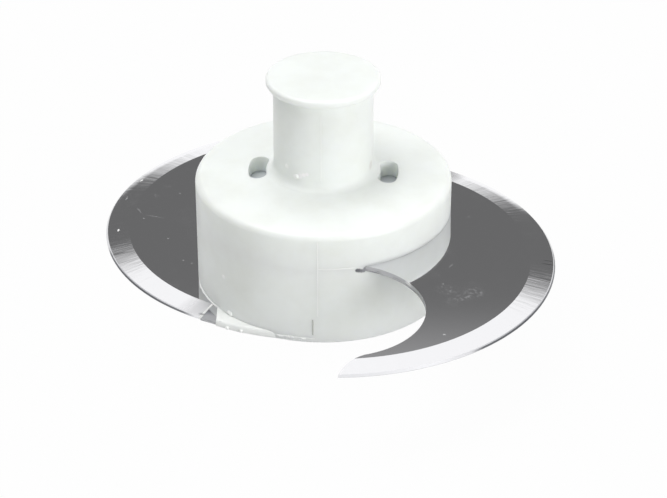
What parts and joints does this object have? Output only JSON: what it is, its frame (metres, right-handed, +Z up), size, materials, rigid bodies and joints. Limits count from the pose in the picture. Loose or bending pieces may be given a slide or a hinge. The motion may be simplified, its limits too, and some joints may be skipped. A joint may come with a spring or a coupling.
{
  "type": "food processor blade",
  "caption": "Moulded hub with a finger knob, carrying two crescent steel knives at two levels for a food processor bowl.",
  "frame": {"origin": "drive axis in the plane of the hub's foot, which is also the middle of the bounding box's bottom", "axes": "+Z up along the drive axis towards the finger knob, +Y along the longest side, across both knife tips"},
  "size_m": [0.1236, 0.1724, 0.0627],
  "materials": {
    "hub_moulding": "satin moulded",
    "knife_steel": "polished, ground edge",
    "bush_steel": "machined"
  },
  "bodies": {
    "root": {"hub": "hub_moulding", "upper_blade": "knife_steel", "lower_blade": "knife_steel", "drive_bush": "bush_steel"}
  },
  "joints": []
}
